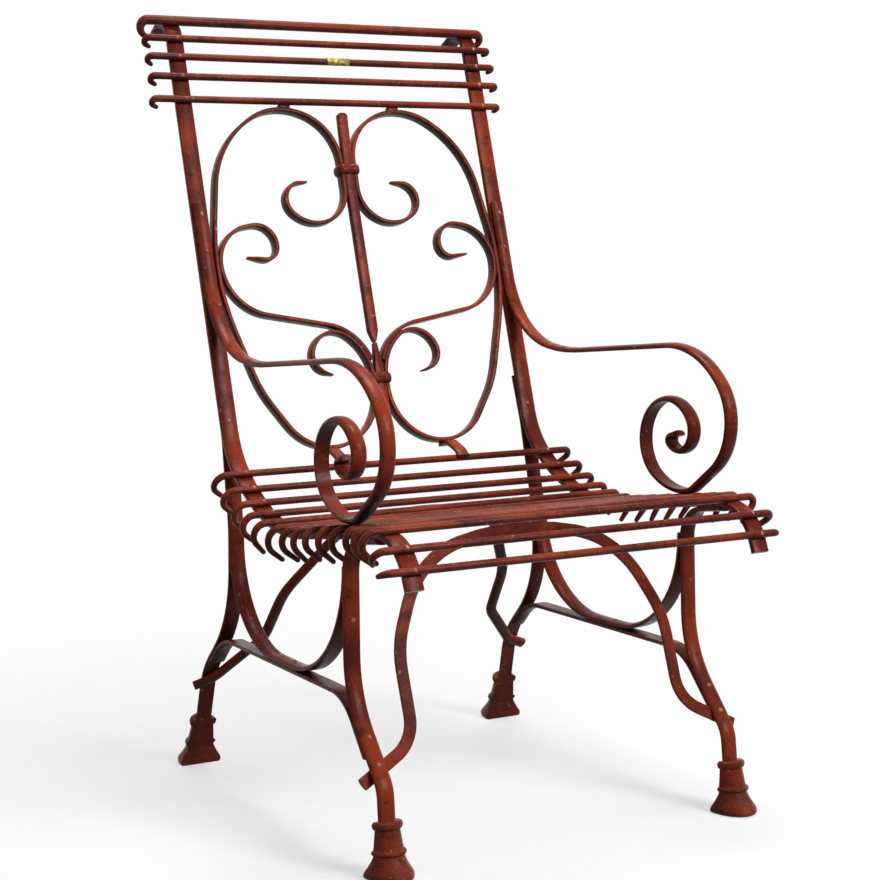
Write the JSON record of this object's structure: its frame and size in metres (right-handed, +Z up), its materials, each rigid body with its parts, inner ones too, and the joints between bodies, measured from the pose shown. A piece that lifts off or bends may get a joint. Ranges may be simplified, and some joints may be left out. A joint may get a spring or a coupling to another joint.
{
  "type": "garden armchair",
  "caption": "High-backed riveted iron garden armchair with a slatted rod seat, scrolled back panel, looped scroll armrests and hoof feet.",
  "frame": {"origin": "centre of the chair's box, on the floor", "axes": "+Z up, -Y the way the sitter faces, +X to the right as seen from the front"},
  "size_m": [0.5426, 0.7168, 0.9811],
  "materials": {
    "painted_bar": "old rust-red paint over wrought bar, satin to semi-gloss, worn at edges",
    "painted_rod": "old rust-red paint over round rod, satin to semi-gloss, rubbed on top",
    "cast_feet": "the same paint over cast iron, slightly pitted"
  },
  "bodies": {
    "root": {"armrest_left": "painted_bar", "armrest_right": "painted_bar", "back_rod_1": "painted_rod", "back_rod_2": "painted_rod", "back_rod_3": "painted_rod", "back_rod_4": "painted_rod", "back_rod_5": "painted_rod", "centre_bar_lower": "painted_bar", "centre_bar_upper": "painted_bar", "collar_lower": "painted_bar", "collar_upper": "painted_bar", "front_arch_brace": "painted_bar", "front_leg_left": "painted_bar", "front_leg_right": "painted_bar", "heart_scroll_left": "painted_bar", "heart_scroll_right": "painted_bar", "hoof_foot_front_left": "cast_feet", "hoof_foot_front_right": "cast_feet", "hoof_foot_rear_left": "cast_feet", "hoof_foot_rear_right": "cast_feet", "oval_scroll_left": "painted_bar", "oval_scroll_right": "painted_bar", "rear_arch_brace": "painted_bar", "rear_leg_left": "painted_bar", "rear_leg_right": "painted_bar", "seat_rod_1": "painted_rod", "seat_rod_10": "painted_rod", "seat_rod_11": "painted_rod", "seat_rod_12": "painted_rod", "seat_rod_13": "painted_rod", "seat_rod_14": "painted_rod", "seat_rod_15": "painted_rod", "seat_rod_16": "painted_rod", "seat_rod_2": "painted_rod", "seat_rod_3": "painted_rod", "seat_rod_4": "painted_rod", "seat_rod_5": "painted_rod", "seat_rod_6": "painted_rod", "seat_rod_7": "painted_rod", "seat_rod_8": "painted_rod", "seat_rod_9": "painted_rod", "seat_strap_left": "painted_bar", "seat_strap_right": "painted_bar", "side_stretcher_left": "painted_bar", "side_stretcher_right": "painted_bar", "side_u_brace_left": "painted_bar", "side_u_brace_right": "painted_bar", "stile_rail_left": "painted_bar", "stile_rail_right": "painted_bar"}
  },
  "joints": []
}
